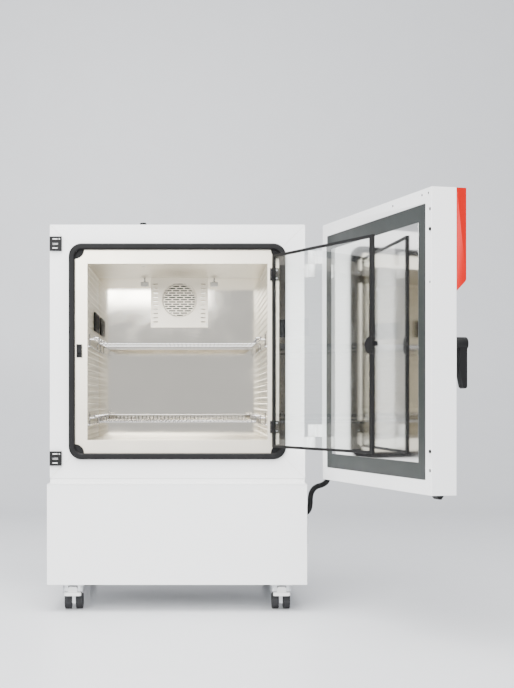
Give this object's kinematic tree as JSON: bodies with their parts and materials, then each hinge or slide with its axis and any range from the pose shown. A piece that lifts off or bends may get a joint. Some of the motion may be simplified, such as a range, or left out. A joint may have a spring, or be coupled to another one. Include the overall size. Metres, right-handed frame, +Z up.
{
  "type": "cooled incubator",
  "caption": "Free-standing cooled incubator with solid outer door, inner glass door, wire racks and compressor base on castors.",
  "frame": {"origin": "on the floor, midway between the four castor stems", "axes": "+X to the right seen from the front, +Y to the back, +Z up"},
  "size_m": [1.0315, 1.2226, 1.0832],
  "materials": {
    "white_paint": "satin",
    "steel_satin": "satin",
    "steel_bright": "polished",
    "zinc": "satin",
    "foam": "matte",
    "black_rubber": "matte",
    "black_plastic": "matte",
    "dark_band": "satin",
    "white_plastic": "gloss",
    "red_plastic": "gloss",
    "display_glass": "gloss",
    "clear_glass": "gloss",
    "grey_plastic": "satin",
    "grey_tyre": "matte",
    "black_metal": "satin",
    "aluminium_fins": "satin",
    "copper_tube": "satin"
  },
  "bodies": {
    "cabinet": {"casing": "white_paint", "rear_panel": "white_paint", "front_frame": "white_paint", "insulation": "foam", "liner": "steel_satin", "side_walls": "steel_satin", "door_gasket": "black_rubber", "catch_plates": "black_plastic", "back_panel": "steel_bright", "fan_cover": "steel_satin", "evaporator": "aluminium_fins", "heater_ring": "zinc", "chamber_fan_motor": "zinc", "chamber_sensors": "black_plastic", "rack_brackets": "steel_bright", "port_tube": "steel_satin", "inner_catch": "black_plastic", "inner_hinge_blocks": "black_plastic", "cabinet_hinge_leaves": "white_paint", "base_frame": "white_paint", "base_cover": "white_paint", "rear_grille": "white_paint", "side_louvre": "grey_plastic", "compressor": "black_metal", "compressor_feet": "black_rubber", "condenser": "aluminium_fins", "electronics_box": "grey_plastic", "refrigerant_lines": "copper_tube", "power_inlet": "black_plastic", "conduit": "black_plastic"},
    "outer_door": {"door_hinge_leaves": "white_paint", "door_shell": "white_paint", "door_insulation": "foam", "door_band": "dark_band", "door_inner_plate": "steel_bright", "control_housing": "red_plastic", "display": "display_glass", "door_buffers": "black_rubber"},
    "inner_door": {"glass_edging": "black_plastic", "glass_pane": "clear_glass", "glass_latch": "black_plastic", "glass_hinge_arms": "black_metal"},
    "handle": {"handle": "black_plastic"},
    "lock_shaft": {"lock_shaft": "zinc"},
    "standby_key": {"standby_key": "black_plastic"},
    "chamber_fan": {"chamber_fan": "aluminium_fins"},
    "condenser_fan": {"condenser_fan": "black_plastic"},
    "upper_rack": {"upper_rack": "steel_bright"},
    "lower_rack": {"lower_rack": "steel_bright"},
    "port_cap": {"port_cap": "black_plastic"},
    "fork_front_left": {"castor_fork_front_left": "zinc"},
    "wheels_front_left": {"castor_wheels_front_left": "grey_tyre"},
    "fork_front_right": {"castor_fork_front_right": "zinc"},
    "wheels_front_right": {"castor_wheels_front_right": "grey_tyre"},
    "fork_rear_left": {"castor_fork_rear_left": "zinc"},
    "wheels_rear_left": {"castor_wheels_rear_left": "grey_tyre"},
    "fork_rear_right": {"castor_fork_rear_right": "zinc"},
    "wheels_rear_right": {"castor_wheels_rear_right": "grey_tyre"},
    "pedal_front_left": {"brake_pedal_front_left": "white_plastic"},
    "pedal_front_right": {"brake_pedal_front_right": "white_plastic"}
  },
  "joints": [
    {"name": "outer_door_hinge", "type": "hinge", "parent": "cabinet", "child": "outer_door", "pos_m": [0.376, -0.218, 0.712], "axis": [0, 0, 1], "range_deg": [-105, 10], "deforming": ["conduit"]},
    {"name": "inner_door_hinge", "type": "hinge", "parent": "cabinet", "child": "inner_door", "pos_m": [0.262, -0.233, 0.7145], "axis": [0, 0, 1], "range_deg": [-115, 11]},
    {"name": "handle_turn", "type": "hinge", "parent": "outer_door", "child": "handle", "pos_m": [0.64316, -0.88664, 0.708], "axis": [0.9659, 0.2588, 0], "range_deg": [0, 90]},
    {"name": "lock_turn", "type": "hinge", "parent": "outer_door", "child": "lock_shaft", "pos_m": [0.59317, -0.88554, 0.713], "axis": [0, 0, 1], "range_deg": [-65.5, 0.5]},
    {"name": "standby_key_push", "type": "slide", "parent": "outer_door", "child": "standby_key", "axis": [-0.9659, -0.2588, 0], "range_m": [0, 0.0015], "stiffness_N_per_m": 400},
    {"name": "chamber_fan_spin", "type": "hinge", "parent": "cabinet", "child": "chamber_fan", "pos_m": [0, 0.231, 0.891], "axis": [0, 1, 0], "continuous": true},
    {"name": "condenser_fan_spin", "type": "hinge", "parent": "cabinet", "child": "condenser_fan", "pos_m": [0.17, 0.243, 0.197], "axis": [0, 1, 0], "continuous": true},
    {"name": "upper_rack_slide", "type": "slide", "parent": "cabinet", "child": "upper_rack", "axis": [0, -1, 0], "range_m": [0, 0.35]},
    {"name": "lower_rack_slide", "type": "slide", "parent": "cabinet", "child": "lower_rack", "axis": [0, -1, 0], "range_m": [0, 0.35]},
    {"name": "port_cap_turn", "type": "hinge", "parent": "cabinet", "child": "port_cap", "pos_m": [-0.0985, -0.147, 1.07], "axis": [0, 0, 1], "range_deg": [0, 90]},
    {"name": "castor_swivel_front_left", "type": "hinge", "parent": "cabinet", "child": "fork_front_left", "pos_m": [-0.287, -0.243, 0.072], "axis": [0, 0, 1], "continuous": true},
    {"name": "castor_roll_front_left", "type": "hinge", "parent": "fork_front_left", "child": "wheels_front_left", "pos_m": [-0.287, -0.227, 0.025], "axis": [1, 0, 0], "continuous": true},
    {"name": "brake_pedal_front_left", "type": "hinge", "parent": "fork_front_left", "child": "pedal_front_left", "pos_m": [-0.287, -0.263, 0.06], "axis": [1, 0, 0], "range_deg": [-12, 0]},
    {"name": "castor_swivel_front_right", "type": "hinge", "parent": "cabinet", "child": "fork_front_right", "pos_m": [0.287, -0.243, 0.072], "axis": [0, 0, 1], "continuous": true},
    {"name": "castor_roll_front_right", "type": "hinge", "parent": "fork_front_right", "child": "wheels_front_right", "pos_m": [0.287, -0.227, 0.025], "axis": [1, 0, 0], "continuous": true},
    {"name": "brake_pedal_front_right", "type": "hinge", "parent": "fork_front_right", "child": "pedal_front_right", "pos_m": [0.287, -0.263, 0.06], "axis": [1, 0, 0], "range_deg": [-12, 0]},
    {"name": "castor_swivel_rear_left", "type": "hinge", "parent": "cabinet", "child": "fork_rear_left", "pos_m": [-0.287, 0.243, 0.072], "axis": [0, 0, 1], "continuous": true},
    {"name": "castor_roll_rear_left", "type": "hinge", "parent": "fork_rear_left", "child": "wheels_rear_left", "pos_m": [-0.287, 0.259, 0.025], "axis": [1, 0, 0], "continuous": true},
    {"name": "castor_swivel_rear_right", "type": "hinge", "parent": "cabinet", "child": "fork_rear_right", "pos_m": [0.287, 0.243, 0.072], "axis": [0, 0, 1], "continuous": true},
    {"name": "castor_roll_rear_right", "type": "hinge", "parent": "fork_rear_right", "child": "wheels_rear_right", "pos_m": [0.287, 0.259, 0.025], "axis": [1, 0, 0], "continuous": true}
  ],
  "couplings": [
    {"joint": "inner_door_hinge", "follows": "outer_door_hinge", "ratio": 1.0952},
    {"joint": "lock_turn", "follows": "handle_turn", "ratio": -0.7222}
  ]
}
